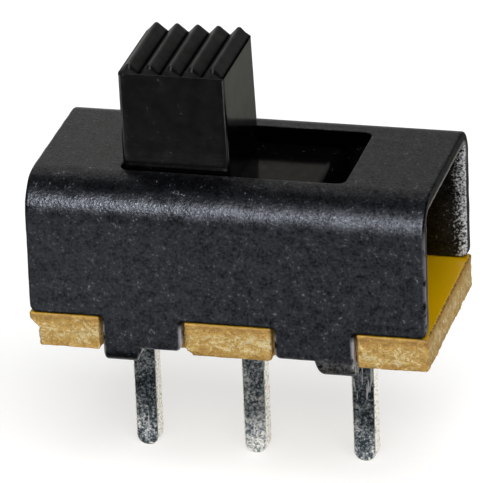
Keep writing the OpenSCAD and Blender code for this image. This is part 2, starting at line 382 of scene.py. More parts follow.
TERMINALS = ("terminal_left", "terminal_centre", "terminal_right")
BLADE_WIDTH = 0.81
BLADE_THICKNESS = 0.65
BLADE_EDGE = 0.07
# A tip's radius as a share of half the blade's width, just short of a full half circle
TIP_ROUND = 0.98
STAKE_HEIGHT = 0.22
STAKE_OUT = 0.1
STAKE_HALF_DEPTH = 0.46 * BLADE_THICKNESS
STAKE_GAP = 0.004
HEAD_THICKNESS = 0.3
HEAD_EDGE = 0.06
HEAD_HOLLOW = 0.1
HOLLOW_RADIUS = 0.85
HOLLOW_STEPS = 5
HEAD_SIDES = 32
BLADE_STEP = 0.06
LATHE_MERGE = 0.001

tin = tin_plate()
board_low, board_high = box_of("terminal_board")
for node in TERMINALS:
    low, high = box_of(node)
    middle_x = (low.x + high.x) / 2
    head_radius = (high.x - low.x) / 2
    half = BLADE_WIDTH / 2
    # The blade stands on its tip, with its two flat faces to the front and the back
    blade_top = board_high.z + HEAD_THICKNESS / 2
    blade_outline = [(-half, low.z, half * TIP_ROUND), (half, low.z, half * TIP_ROUND),
                     (half, blade_top, 0), (-half, blade_top, 0)]
    points, faces, rims = plate([blade_outline], BLADE_THICKNESS, BLADE_EDGE, BLADE_EDGE,
                                BLADE_STEP)
    blade = piece_from(node + "_blade", [
        (middle_x + x, -BLADE_THICKNESS / 2 - z, y) for x, y, z in points], faces, rims)
    stake = block("stake", [(middle_x + side * x, y, z)
                            for x, z in ((half, -STAKE_HEIGHT), (half + STAKE_OUT, -STAKE_GAP))
                            for y in (-STAKE_HALF_DEPTH, STAKE_HALF_DEPTH)
                            for side in (-1, 1)])
    combined(blade, stake, "UNION")
    hollow = math.sqrt(HOLLOW_RADIUS ** 2 - (HOLLOW_RADIUS - HEAD_HOLLOW) ** 2)
    dish = [(r, high.z - HEAD_HOLLOW + HOLLOW_RADIUS - math.sqrt(HOLLOW_RADIUS ** 2 - r * r))
            for r in (hollow * k / HOLLOW_STEPS for k in range(HOLLOW_STEPS + 1))]
    head_profile = dish + [(head_radius - HEAD_EDGE, high.z),
                           (head_radius, high.z - HEAD_EDGE),
                           (head_radius, board_high.z), (0, board_high.z)]
    # The head is turned round from its profile
    lathe = bmesh.new()
    path = [lathe.verts.new((middle_x * MM + r * MM, 0, z * MM)) for r, z in head_profile]
    path_edges = [lathe.edges.new(pair) for pair in zip(path, path[1:])]
    bmesh.ops.spin(lathe, geom=path + path_edges, cent=(middle_x * MM, 0, 0), axis=(0, 0, 1),
                   angle=math.tau, steps=HEAD_SIDES, use_duplicate=False)
    bmesh.ops.remove_doubles(lathe, verts=lathe.verts, dist=LATHE_MERGE * MM)
    bmesh.ops.recalc_face_normals(lathe, faces=lathe.faces)
    head_mesh = bpy.data.meshes.new("contact_head")
    lathe.to_mesh(head_mesh)
    lathe.free()
    combined(blade, new_object("contact_head", head_mesh), "UNION")
    blade.data.materials.clear()
    blade.data.materials.append(tin)
    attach(blade, "switch_body")
    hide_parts(node)


# ---------------------------------------------------------------- Terminal board
# A strip of phenolic-bonded paper with a glossy golden face, punched out with a notch for
# each tab. The punch rounds its upper edges and tears the layers below them pale and rough.


def phenolic_paper():
    """Amber resin over paper: a glossy golden face, and dull torn edges with pale flakes."""
    material, tree, surface = new_material("phenolic_paper")
    place = add(tree, "ShaderNodeTexCoord").outputs["Object"]
    x, _, z = add(tree, "ShaderNodeSeparateXYZ", (place,)).outputs
    rim = add(tree, "ShaderNodeAttribute", attribute_name="rim").outputs["Fac"]
    # The paper's layers make its fibres and tears lie a little flat
    layers = add(tree, "ShaderNodeMapping", {"Vector": place, "Scale": (1, 1, 1.15)})
    fibres = add(tree, NOISE, {
        "Vector": layers, "Scale": per_mm(0.11), "Detail": 4, "Roughness": 0.65,
        "Distortion": 0.8})
    tears = add(tree, NOISE, {
        "Vector": layers, "Scale": per_mm(0.45), "Detail": 2, "Distortion": 1})
    # Flakes lift most half way down the edge, and the rolled upper edge stays whole
    above = add(tree, RANGE, (z, 1.1 * MM, 0.75 * MM, -0.25, 0))
    below = add(tree, RANGE, (z, 0, 0.35 * MM, -0.15, 0))
    bands = add(tree, MATH, (above, below))
    lifted = add(tree, MATH, (tears, 0.8, bands), operation="MULTIPLY_ADD")
    flaky = add(tree, MATH, (lifted, fibres))
    torn = add(tree, "ShaderNodeValToRGB", (flaky,), stops=(
        (0.5, "#b18336"), (0.74, "#cc9c46"), (0.9, "#dbb45e"), (1, "#efd9a2")))
    ends = add(tree, RANGE, (rim, 0.2, 0.7))
    skin = add(tree, NOISE, {"Vector": place, "Scale": per_mm(0.8), "Detail": 2})
    face = add(tree, MIX, (skin, "#c69a00", "#ce9f00"), data_type="RGBA")
    # A broken brown line is painted along the right end's upper edge: painted shade for the
    # shadows in the punch's marks there
    begun = add(tree, RANGE, (rim, 0.02, 0.2))
    ended = add(tree, RANGE, (rim, 0.9, 0.5))
    upper = add(tree, RANGE, (z, 1 * MM, 1.1 * MM))
    at_end = add(tree, RANGE, (x, 6.4 * MM, 6.6 * MM))
    shadow_dots = add(tree, RANGE, (fibres, 0.4, 0.55))
    colour = layered(tree, face, (
        ((ends,), torn), ((begun, ended, upper, at_end, shadow_dots), "#4c3310")))
    gloss = add(tree, RANGE, (ends, 0, 1, 0.25, 0.6))
    relief = add(tree, "ShaderNodeBump", {
        "Height": flaky, "Strength": ends, "Distance": 0.05 * MM})
    join(tree, surface, {"Base Color": colour, "Roughness": gloss, "Normal": relief})
    return material


NOTCH_LENGTH = 2.9
NOTCH_DEPTH = 0.53
NOTCH_MOUTH = 0.08
NOTCH_ROOT = 0.15
TAB_CENTRE = 2.95
BOARD_CORNER = 0.12
BOARD_ROLL = 0.1
BOARD_LOW_ROLL = 0.04
BOARD_STEP = 0.09
BOARD_BANDS = 9
BLADE_HOLE_GAP = 0.03
# The depth below the face at which the torn edge begins, and how far it stands back on
# average, with its waves and with its fibres
TORN_BELOW = 0.25
TORN_BACK = 0.03
TORN_WAVES = 0.035
TORN_FIBRES = 0.03
END_BROKEN = 0.3
FLAKE_BROKEN = 0.2


def torn_edge(x, y, z):
    """How far the torn edge lies inside the punched outline at a point of the board.

    Its waves are about half a millimetre long, its fibres a third of that, and both are half
    as high.
    """
    wave = noise.noise(Vector((x * 2.2, y * 2.2, z * 4.5)))
    fibre = noise.noise(Vector((x * 7, y * 7, z * 14 + 9)))
    depth = min(1, -z / TORN_BELOW)
    return max(0.0, depth * (TORN_BACK + TORN_WAVES * wave + TORN_FIBRES * fibre))


def smooth_step(value, start, end):
    """A smooth rise from 0 at start to 1 at end."""
    share = min(1, max(0, (value - start) / (end - start)))
    return share * share * (3 - 2 * share)


def broken(x, y, z):
    """Moves a point of the board where its lower layers broke back further."""
    ragged = 1 + 0.35 * noise.noise(Vector((y * 1.7, z * 3, 4)))
    # Under the face the whole left end stands back
    end = END_BROKEN * ragged * smooth_step(z, -0.2, -0.6) * smooth_step(x, -5.6, -6.8)
    # A flake is missing from the lower left corner of the front's middle stretch
    flake = FLAKE_BROKEN * ragged * smooth_step(z, -0.9, -1.15) * smooth_step(y, -2.9, -3.2)
    if x > -1.7:
        end = flake * smooth_step(x, -0.7, -1.5)
    return x + end, y, z


def rectangle(middle_x, half_x, half_y, radius):
    """A rectangle's corners, with the metal inside. Turned round, they are a hole's."""
    return [(middle_x + x * half_x, y * half_y, radius)
            for x, y in ((-1, -1), (1, -1), (1, 1), (-1, 1))]


board_corners = []
for side in (-1, 1):
    # The front edge runs to the right, and then the back edge runs to the left
    way = -side
    edge_y = side * board_high.y
    notch_y = side * (board_high.y - NOTCH_DEPTH)
    board_corners.append((way * board_low.x, edge_y, BOARD_CORNER))
    for tab in (-1, 1):
        near = way * (tab * TAB_CENTRE - NOTCH_LENGTH / 2)
        far = way * (tab * TAB_CENTRE + NOTCH_LENGTH / 2)
        board_corners += [(near, edge_y, NOTCH_MOUTH), (near, notch_y, NOTCH_ROOT),
                          (far, notch_y, NOTCH_ROOT), (far, edge_y, NOTCH_MOUTH)]
    board_corners.append((way * board_high.x, edge_y, BOARD_CORNER))
board_outlines = [board_corners]
for node in TERMINALS:
    low, high = box_of(node)
    board_outlines.append(rectangle(
        (low.x + high.x) / 2, BLADE_WIDTH / 2 + BLADE_HOLE_GAP,
        BLADE_THICKNESS / 2 + BLADE_HOLE_GAP, 0)[::-1])

points, faces, rims = plate(board_outlines, board_high.z - board_low.z, BOARD_ROLL,
                            BOARD_LOW_ROLL, BOARD_STEP, bands=BOARD_BANDS,
                            wear=torn_edge)
points = [broken(*point) for point in points]
board = piece_from("board", [(x, y, z + board_high.z) for x, y, z in points], faces, rims)
board.data.materials.append(phenolic_paper())
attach(board, "switch_body")
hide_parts("terminal_board")


# ---------------------------------------------------------------- Slider
# One moulding in black nylon: a carriage that runs inside the shell, and a knob that stands
# up through the slot with five finger ridges across its top.
KNOB_LENGTH = 3.69
KNOB_WIDTH = 3.96
KNOB_DRAFT = 0.04
KNOB_EDGE = 0.12
KNOB_TOP_EDGE = 0.005
KNOB_STEP = 0.15
RIDGES = 5
RIDGE_HEIGHT = 0.33
RIDGE_CREST = 0.11
RIDGE_END = 0.1
RIDGE_FRONT = 0.6
RIDGE_SINK = 0.05
RIDGE_SUPPORT = 0.02
CREST_STEPS = 4
# What the row of ridges stays inside the knob's top, along it and across it
ROW_SHORT = 0.04
ROW_NARROW = 0.002
CARRIAGE_TOP = 5.37
CARRIAGE_ROOF = 0.4
KNOB_LEAN = 0.021
LEAN_HEIGHT = 4.8
KNOB_SHARP_ANGLE = 35

slider_low, slider_high = box_of("slider")
slider_x = (slider_low.x + slider_high.x) / 2
groove_z = slider_high.z - RIDGE_HEIGHT
root_z = CARRIAGE_TOP - CARRIAGE_ROOF


def black_nylon():
    """Moulded nylon: near black and glossy, with cloudy scuffs and sparse specks of dust."""
    material, tree, surface = new_material("black_nylon")
    place = add(tree, "ShaderNodeTexCoord").outputs["Object"]
    _, y, z = add(tree, "ShaderNodeSeparateXYZ", (place,)).outputs
    # The mould's fine texture is drawn as coarse as it needs to be to show
    grain = add(tree, NOISE, {
        "Vector": place, "Scale": per_mm(0.1), "Detail": 3, "Roughness": 0.6})
    clouds = add(tree, NOISE, {
        "Vector": place, "Scale": per_mm(0.5), "Detail": 4, "Roughness": 0.6})
    cloudy = add(tree, MIX, (clouds, "#010101", "#070708"), data_type="RGBA")
    sparse = add(tree, MATH, (clouds, 0.6, grain), operation="MULTIPLY_ADD")
    specks = add(tree, RANGE, (sparse, 1.02, 1.12))
    colour = layered(tree, cloudy, (((specks,), "#5c5e62"),))
    # The moulding is smooth but for its ridges, and the shell rubs the carriage's top smoother
    satin = add(tree, RANGE, (z, 5.5 * MM, 5.9 * MM, 0.12, 0.16))
    worn = add(tree, RANGE, (z, (groove_z - 0.03) * MM, (groove_z + 0.02) * MM, 0, 0.22))
    rough = add(tree, MATH, (satin, worn))
    # The ridges' narrow grooves have no sheen: a painted shade for the shadow that fills them
    over = add(tree, RANGE, (z, (groove_z + 0.03) * MM, (groove_z + 0.09) * MM))
    under = add(tree, RANGE, (z, (groove_z - 0.01) * MM, (groove_z - 0.04) * MM))
    across = add(tree, MATH, (y,), operation="ABSOLUTE")
    ends = add(tree, RANGE, (across, 1.86 * MM, 1.9 * MM))
    outside_groove_shade = add(tree, MATH, (over, under), operation="MAXIMUM")
    outside_groove_shade = add(tree, MATH, (outside_groove_shade, ends), operation="MAXIMUM")
    knob = add(tree, RANGE, (z, 5.5 * MM, 5.9 * MM, 0.33, 1))
    # The knob's sheen is raised towards its top, a painted sheen that lightens its upper part, and
    # fingers scuff its ridges
    top_sheen = add(tree, RANGE, (z, 6.8 * MM, 9 * MM, 1, 2.5))
    scuffed = add(tree, RANGE, (worn, 0, 0.22, 1, 0.38))
    shiny = add(tree, RANGE, (clouds, 0.3, 0.7, 0.22, 0.46))
    for share in (outside_groove_shade, knob, top_sheen, scuffed):
        shiny = add(tree, MATH, (shiny, share), operation="MULTIPLY")
    pitted = add(tree, RANGE, (worn, 0, 0.22, 0.06, 0.4))
    relief = add(tree, "ShaderNodeBump", {
        "Height": grain, "Strength": pitted, "Distance": 0.02 * MM})
    join(tree, surface, {"Base Color": colour, "Roughness": rough,
                         "Specular IOR Level": shiny, "Normal": relief})
    return material


def box_solid(name, low, high):
    """A plain box between two corners, for cutting."""
    return block(name, [(x, y, z) for z in (low[2], high[2]) for y in (low[1], high[1])
                        for x in (low[0], high[0])])


def new_tree(name, inputs):
    """A Geometry Nodes tree with its named inputs and a finish, and the sockets they feed."""
    tree = bpy.data.node_groups.new(name, "GeometryNodeTree")
    for title, kind in {**inputs, "Finish": "Material"}.items():
        tree.interface.new_socket(title, in_out="INPUT", socket_type="NodeSocket" + kind)
    tree.interface.new_socket("Made", in_out="OUTPUT", socket_type="NodeSocketGeometry")
    return tree, add(tree, "NodeGroupInput").outputs


def close_tree(tree, geometry, given):
    """Ends a tree in plain geometry with the finish that it is given."""
    solid = add(tree, "GeometryNodeRealizeInstances", (geometry,))
    finished = add(tree, "GeometryNodeSetMaterial", {
        "Geometry": solid, "Material": given["Finish"]})
    add(tree, "NodeGroupOutput", (finished,))
    return tree


def grown(made, tree, values):
    """Runs a tree on an object with its named inputs and keeps the plain mesh."""
    grower = made.modifiers.new(tree.name, "NODES")
    grower.node_group = tree
    for socket in tree.interface.items_tree:
        if socket.name in values:
            grower[socket.identifier] = values[socket.name]
    return settled(made)


def ridge_row_tree():
    """Repeats one finger ridge along the knob."""
    tree, given = new_tree("ridge_row", {
        "Ridge": "Geometry", "Ridges": "Int", "Pitch": "Float"})
    step = add(tree, "ShaderNodeCombineXYZ", (given["Pitch"],))
    gaps = add(tree, MATH, (given["Ridges"], 1), operation="SUBTRACT")
    reach = add(tree, MATH, (gaps, -0.5), operation="MULTIPLY")
    start = add(tree, "ShaderNodeVectorMath", {0: step, "Scale": reach}, operation="SCALE")
    row = add(tree, "GeometryNodeMeshLine", {
        "Count": given["Ridges"], "Start Location": start, "Offset": step}, mode="OFFSET")
    ridges = add(tree, "GeometryNodeInstanceOnPoints", {"Points": row, "Instance": given["Ridge"]})
    return close_tree(tree, ridges, given)


nylon = black_nylon()
half_x = KNOB_LENGTH / 2
half_y = KNOB_WIDTH / 2
knob_rise = groove_z - root_z
points, faces, rims = plate([rectangle(0, half_x, half_y, KNOB_EDGE)], knob_rise,
                            KNOB_TOP_EDGE, KNOB_TOP_EDGE, KNOB_STEP, bands=2)
slider = piece_from("slider_moulding", [
    (slider_x + x * (1 - KNOB_DRAFT * (z / knob_rise + 1) / half_x),
     y * (1 - KNOB_DRAFT * (z / knob_rise + 1) / half_y), groove_z + z)
    for x, y, z in points], faces)

pitch = (KNOB_LENGTH - 2 * KNOB_DRAFT - ROW_SHORT) / RIDGES
reach = half_y - KNOB_DRAFT - ROW_NARROW
slope = math.atan2(RIDGE_HEIGHT, pitch / 2)
apex = RIDGE_HEIGHT + RIDGE_CREST * (1 / math.cos(slope) - 1)
slope = math.atan2(apex, pitch / 2)
crest = [(RIDGE_CREST * math.sin(turn), RIDGE_HEIGHT - RIDGE_CREST * (1 - math.cos(turn)))
         for turn in (slope * (k / CREST_STEPS - 1) for k in range(2 * CREST_STEPS + 1))]
section = [(-pitch / 2, -RIDGE_SINK), (-pitch / 2, 0), *crest, (pitch / 2, 0),
           (pitch / 2, -RIDGE_SINK)]
stations = [(-reach, RIDGE_FRONT), (RIDGE_END - reach, 1),
            (RIDGE_END - reach + RIDGE_SUPPORT, 1), (reach - RIDGE_END - RIDGE_SUPPORT, 1),
            (reach - RIDGE_END, 1), (reach, RIDGE_FRONT)]
points = [(x, y, z * (rise if z > 0 else 1)) for y, rise in stations for x, z in section]
size = len(section)
faces = [(i * size + j, i * size + (j + 1) % size, (i + 1) * size + (j + 1) % size,
          (i + 1) * size + j) for i in range(len(stations) - 1) for j in range(size)]
faces += [tuple(range(size - 1, -1, -1)), tuple(range(len(points) - size, len(points)))]
ridge = piece_from("ridge", points, faces)
grown(ridge, ridge_row_tree(), {"Ridges": RIDGES, "Pitch": pitch * MM, "Finish": nylon})
ridge.data.transform(Matrix.Translation(Vector((slider_x, 0, groove_z)) * MM))
combined(slider, ridge, "UNION")

CARRIAGE_FOOT_EDGE = 0.1
CARRIAGE_EDGE = 0.7
CARRIAGE_CORNER = 0.25
CARRIAGE_STEP = 0.25
CHANNEL_WIDTH = 2.8
CHANNEL_TOP = 1.79
POCKET_LENGTH = 6.6
POCKET_WIDTH = 2.6
POCKET_TOP = 2.89
BORE_RADIUS = 1.15
BORE_TOP = 4.57
BORE_EDGE = 0.05
BORE_STEP = 0.2
# The bore's corners are rounded a hair short of a full circle
BORE_ROUND = 0.999 * BORE_RADIUS
OVERCUT = 1

half_y = slider_high.y
section = [(-half_y, slider_low.z, CARRIAGE_FOOT_EDGE),
           (half_y, slider_low.z, CARRIAGE_FOOT_EDGE),
           (half_y, CARRIAGE_TOP, CARRIAGE_EDGE), (-half_y, CARRIAGE_TOP, CARRIAGE_EDGE)]
points, faces, rims = plate([section], slider_high.x - slider_low.x, CARRIAGE_CORNER,
                            CARRIAGE_CORNER, CARRIAGE_STEP, bands=2)
carriage = piece_from("carriage", [(slider_high.x + z, x, y) for x, y, z in points], faces)
for name, half_length, width, top in (
        ("channel", (slider_high.x - slider_low.x) / 2 + OVERCUT, CHANNEL_WIDTH, CHANNEL_TOP),
        ("pocket", POCKET_LENGTH / 2, POCKET_WIDTH, POCKET_TOP)):
    combined(carriage, box_solid(name, (slider_x - half_length, -width / 2, 0),
                                 (slider_x + half_length, width / 2, top)), "DIFFERENCE")
points, faces, rims = plate([rectangle(0, BORE_RADIUS, BORE_RADIUS, BORE_ROUND)], BORE_TOP,
                            BORE_EDGE, BORE_EDGE, BORE_STEP)
combined(carriage, piece_from("bore", [(slider_x + x, y, BORE_TOP + z)
                                       for x, y, z in points], faces), "DIFFERENCE")
combined(slider, carriage, "UNION")
# The slider has a little play, and stands leaning towards the end of its travel
slider.data.transform(Matrix(((1, 0, -KNOB_LEAN, KNOB_LEAN * LEAN_HEIGHT * MM), (0, 1, 0, 0),
                              (0, 0, 1, 0), (0, 0, 0, 1))))
slider.data.set_sharp_from_angle(angle=math.radians(KNOB_SHARP_ANGLE))
slider.data.materials.clear()
slider.data.materials.append(nylon)
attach(slider, "slider_body")
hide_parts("slider")


# ---------------------------------------------------------------- Contact spring
# A compression spring wound from round music wire, with one closed turn at each end. It
# sits in the slider's bore and presses the moving contact down.
WIRE_RADIUS = 0.11
WIRE_SIDES = 12
TURNS = 6
RINGS_A_TURN = 32
# A closed turn's rise in wire radii, which leaves a hair between it and the next
CLOSED_RISE = 2.16


def coil_tree():
    """Winds a wire up a helix whose first and last turns lie closed."""
    tree, given = new_tree("wound_coil", {
        "Turns": "Float", "Coil Radius": "Float", "Wire Radius": "Float", "Height": "Float"})
    turns = given["Turns"]
    line = add(tree, "GeometryNodeCurvePrimitiveLine", mode="POINTS")
    rings = add(tree, MATH, (turns, RINGS_A_TURN), operation="MULTIPLY")
    wire = add(tree, "GeometryNodeResampleCurve", {"Curve": line, "Count": rings})
    share = add(tree, "GeometryNodeSplineParameter").outputs["Factor"]
    turn = add(tree, MATH, (share, turns), operation="MULTIPLY")
    angle = add(tree, MATH, (turn, math.tau), operation="MULTIPLY")
    closed = add(tree, MATH, (given["Wire Radius"], CLOSED_RISE), operation="MULTIPLY")
    spread = add(tree, MATH, (closed, -2, given["Height"]), operation="MULTIPLY_ADD")
    last = add(tree, MATH, (turns, 1), operation="SUBTRACT")
    # The first turn, those in the middle and the last one rise by their own amounts
    height = 0
    for start, end, amount in ((0, 1, closed), (1, last, spread), (last, turns, closed)):
        risen = add(tree, RANGE, (turn, start, end, 0, amount))
        height = add(tree, MATH, (height, risen))
    sides = []
    for wave in ("COSINE", "SINE"):
        side = add(tree, MATH, (angle,), operation=wave)
        sides.append(add(tree, MATH, (side, given["Coil Radius"]), operation="MULTIPLY"))
    spot = add(tree, "ShaderNodeCombineXYZ", (*sides, height))
    helix = add(tree, "GeometryNodeSetPosition", {"Geometry": wire, "Position": spot})
    section = add(tree, "GeometryNodeCurvePrimitiveCircle", {
        "Resolution": WIRE_SIDES, "Radius": given["Wire Radius"]}, mode="RADIUS")
    coil = add(tree, "GeometryNodeCurveToMesh", {
        "Curve": helix, "Profile Curve": section, "Fill Caps": True})
    return close_tree(tree, coil, given)


def drawn_metal(name, stretch, size, detail, dark, pale, roughness):
    """Bare drawn or rolled metal, with a faint grain between a dark and a pale tone.

    The grain is size millimetres wide, and a small stretch value pulls it out along an axis.
    """
    material, tree, surface = new_material(name)
    place = add(tree, "ShaderNodeTexCoord").outputs["Object"]
    drawn = add(tree, "ShaderNodeMapping", {"Vector": place, "Scale": stretch})
    grain = add(tree, NOISE, {"Vector": drawn, "Scale": per_mm(size), "Detail": detail})
    tone = add(tree, MIX, (grain, dark, pale), data_type="RGBA")
    join(tree, surface, {"Base Color": tone, "Metallic": 1, "Roughness": roughness})
    return material


# Drawn steel wire is bright, and faintly mottled
drawn_wire = drawn_metal("drawn_wire", (1, 1, 1), 0.1, 2, "#8d9094", "#c4c6c8", 0.25)
coil_low, coil_high = box_of("contact_spring")
coil_radius = (coil_high.x - coil_low.x) / 2 - WIRE_RADIUS
spring = piece_from("spring_coil", [(0, 0, 0)], [])
grown(spring, coil_tree(), {
    "Turns": float(TURNS), "Coil Radius": coil_radius * MM, "Wire Radius": WIRE_RADIUS * MM,
    "Height": (coil_high.z - coil_low.z - 2 * WIRE_RADIUS) * MM, "Finish": drawn_wire})
spring.data.transform(Matrix.Translation(
    Vector((slider_x, 0, coil_low.z + WIRE_RADIUS)) * MM))
spring.data.shade_smooth()
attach(spring, "slider_body")
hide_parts("contact_spring")


# ---------------------------------------------------------------- Frame
# The shell is blanked from half a millimetre of steel strip, blackened, and folded down
# front and back. Its four tabs pass the board's notches, and an ear on each clinches under.
BEND_POINTS = 48


def folded_sheet_tree():
    """Folds a flat blank along Y between an outer and an inner rounded section."""
    tree, given = new_tree("folded_sheet", {
        "Blank": "Geometry", "Section Width": "Float", "Section Height": "Float",
        "Front Bend": "Float", "Back Bend": "Float", "Inner Bend": "Float",
        "Inner Fold": "Float", "Thickness": "Float"})
    # The same position is read at a section's corners and at the blank's points
    place = add(tree, "GeometryNodeInputPosition")
    x, y, z = add(tree, "ShaderNodeSeparateXYZ", (place,)).outputs
    is_back = add(tree, MATH, (x, 0), operation="GREATER_THAN")
    is_upper = add(tree, MATH, (y, 0), operation="GREATER_THAN")
    narrower, lower = [
        add(tree, MATH, (given["Thickness"], -2, given[size]),
            operation="MULTIPLY_ADD") for size in ("Section Width", "Section Height")]
    inner = add(tree, "GeometryNodeInputNamedAttribute", {"Name": "inner_run"})
    surfaces = []
    for width, height, front, rear, fold, run in (
            (given["Section Width"], given["Section Height"], given["Front Bend"],
             given["Back Bend"], given["Thickness"], y),
            (narrower, lower, given["Inner Bend"], given["Inner Bend"],
             given["Inner Fold"], inner.outputs["Attribute"])):
        section = add(tree, "GeometryNodeCurvePrimitiveQuadrilateral", {
            "Width": width, "Height": height}, mode="RECTANGLE")
        bend = add(tree, RANGE, (is_back, 0, 1, front, rear))
        radius = add(tree, RANGE, (is_upper, 0, 1, fold, bend))
        path = add(tree, "GeometryNodeFilletCurve", {
            "Curve": section, "Count": BEND_POINTS, "Radius": radius}, mode="POLY")
        around = add(tree, "GeometryNodeCurveLength", (path,))
        # A section starts at the foot of its back bend, and its middle lies half a top on
        arc = add(tree, MATH, (rear, math.pi / 2 - 1), operation="MULTIPLY")
        middle = add(tree, MATH, (width, 0.5, arc), operation="MULTIPLY_ADD")
        along = add(tree, MATH, (middle, run), operation="SUBTRACT")
        reach = add(tree, MATH, (along, around, 0), operation="WRAP")
        surfaces.append(add(tree, "GeometryNodeSampleCurve", {
            "Curves": path, "Length": reach}, mode="LENGTH",
            use_all_curves=True).outputs["Position"])
    depth = add(tree, MATH, (z, given["Thickness"]), operation="DIVIDE")
    inward = add(tree, MATH, (depth, -1), operation="MULTIPLY")
    between = add(tree, MIX, (inward, *surfaces), data_type="VECTOR")
    spot = add(tree, "ShaderNodeSeparateXYZ", (between,)).outputs
    folded = add(tree, "ShaderNodeCombineXYZ", (x, spot["X"], spot["Y"]))
    shaped = add(tree, "GeometryNodeSetPosition", {"Geometry": given["Blank"], "Position": folded})
    return close_tree(tree, shaped, given)


def blackened_steel():
    """Black oxide on cold-rolled steel: dark satin, patchy and finely speckled, bare in places.

    Its sheared edges are bare on the tabs, with a burr at the right end's top edge and a painted
    highlight along the front wall's end. On the inside, along the right end's edge, lies a painted
    pool of lamp light in pale glints.
    """
    material, tree, surface = new_material("blackened_steel")
    place = add(tree, "ShaderNodeTexCoord").outputs["Object"]
    x, y, z = add(tree, "ShaderNodeSeparateXYZ", (place,)).outputs
    rim, inside = [add(tree, "ShaderNodeAttribute", attribute_name=name).outputs["Fac"]
                   for name in ("rim", "inside")]
    # The sheet's fine grain is drawn as coarse as it needs to be to show
    grain = add(tree, NOISE, {
        "Vector": place, "Scale": per_mm(0.09), "Detail": 2, "Roughness": 0.6})
    mottle = add(tree, NOISE, {
        "Vector": place, "Scale": per_mm(0.4), "Detail": 4, "Roughness": 0.65})
    sparse = add(tree, MATH, (mottle, 0.5, grain), operation="MULTIPLY_ADD")
    specks = add(tree, RANGE, (sparse, 0.93, 1.05))
    patchy = add(tree, RANGE, (mottle, 0.4, 0.5))
    # Where the tabs are, and the ears folded under them
    low = add(tree, RANGE, (z, 1.1 * MM, 0.9 * MM))
    folded = add(tree, RANGE, (z, 0.25 * MM, -0.05 * MM))
    ear_sheen_patches = add(tree, RANGE, (sparse, 0.6, 0.85))
    right = add(tree, MATH, (x, 0), operation="GREATER_THAN")
    # Where the right end's edge runs, in the top wall and in the walls below it, and how deep
    # a point lies in the sheet
    far = add(tree, RANGE, (x, 6.6 * MM, 6.75 * MM))
    high = add(tree, RANGE, (z, 4.4 * MM, 5.2 * MM))
    lower = add(tree, RANGE, (z, 5.2 * MM, 4.6 * MM))
    front = add(tree, MATH, (y, 0), operation="LESS_THAN")
    outer = add(tree, RANGE, (inside, 0.45, 0.25))
    inner = add(tree, RANGE, (inside, 0.62, 0.8))
    lining = add(tree, RANGE, (inside, 0.9, 0.95))
    # Painted glints of lamp light crowd together towards the right end, where the lamp shines in
    # through the open end
    ragged = add(tree, MATH, (mottle, 0.5 * MM, x), operation="MULTIPLY_ADD")
    end_band = add(tree, RANGE, (ragged, 6.4 * MM, 7 * MM, 0, 0.34))
    rising = add(tree, MATH, (grain, end_band))
    lamp_glints = add(tree, RANGE, (rising, 0.66, 0.95))
    near_end = add(tree, RANGE, (x, 5.6 * MM, 5.9 * MM))
    # The slot's walls, which are painted dark for the shadow in the slot
    along = add(tree, MATH, (x,), operation="ABSOLUTE")
    middle = add(tree, MATH, (along, 6 * MM), operation="LESS_THAN")
    above = add(tree, MATH, (z, 5 * MM), operation="GREATER_THAN")
    torn = add(tree, RANGE, (rim, 0.1, 0.4))
    slot_wall_shade = add(tree, MATH, (middle, above), operation="MULTIPLY")
    slot_wall_shade = add(tree, MATH, (slot_wall_shade, torn), operation="MULTIPLY")
    skin = add(tree, MIX, (mottle, "#010101", "#040507"), data_type="RGBA")
    colour = layered(tree, skin, (
        # Sparse pale specks of dust and scratched oxide
        ((specks,), "#6f767e"),
        # Bare metal on the tabs' sheared edges
        ((rim, low, patchy), "#d6d4da"),
        # The burr that the shear left along the inner edge of the top wall's end
        ((rim, inner, high, far), "#8f8e8a"),
        # A pale line painted along the outer edge of the front wall's end: a painted highlight of
        # its rolled edge
        ((rim, outer, lower, far, front, patchy), "#85828a"),
        # A patchy grey painted reflection of the floor on the folds of the right ears
        ((folded, ear_sheen_patches, right), "#585652"),
        # A painted pool of lamp light, in pale glints, on the inside along the right end's edge,
        # where the lamp shines in through the open end
        ((lamp_glints, lining, near_end), "#f2f5fa"),
        # The slot's walls are painted near black and have no sheen: painted shade for the shadow
        # in the slot
        ((slot_wall_shade,), "#010101"),
    ))
    # The oxide's sheen comes and goes in specks, and is bluish seen square on. The left end
    # is grained more strongly, and shines more
    sheen = add(tree, MATH, (mottle, 0.8, grain), operation="MULTIPLY_ADD")
    level = add(tree, RANGE, (sheen, 0.65, 1.15, 0.06, 0.9))
    leftward = add(tree, RANGE, (x, 3 * MM, -6 * MM, 0.3, 0.65))
    shiny = add(tree, MATH, (leftward, 0.4, level), operation="MULTIPLY_ADD")
    sheared = add(tree, RANGE, (rim, 0.2, 0.5, 1, 0.2))
    # The slot's walls lose their sheen, as painted shade
    whole = add(tree, MATH, (1, slot_wall_shade), operation="SUBTRACT")
    # Away from the right end the inside has a dull, sooty oxide
    deep = add(tree, RANGE, (x, 5.5 * MM, 4.5 * MM))
    sooty = add(tree, MATH, (deep, lining), operation="MULTIPLY")
    sooty = add(tree, RANGE, (sooty, 0, 1, 1, 0.1))
    for share in (sheared, whole, sooty):
        shiny = add(tree, MATH, (shiny, share), operation="MULTIPLY")
    satin = add(tree, RANGE, (mottle, 0.3, 0.7, 0.31, 0.39))
    rightward = add(tree, RANGE, (x, -4 * MM, 5 * MM, 0, 0.09))
    rough = add(tree, MATH, (satin, rightward))
    relief = add(tree, "ShaderNodeBump", {
        "Height": grain, "Strength": leftward, "Distance": 0.02 * MM})
    join(tree, surface, {
        "Base Color": colour, "Specular IOR Level": shiny, "Specular Tint": "#eaf0ff",
        "IOR": 1.43, "Roughness": rough, "Normal": relief})
    return material


SHEET = 0.5
OUTER_ROLL = 0.1
INNER_ROLL = 0.08
SHEET_STEP = 0.12
PAST_EARS = 9
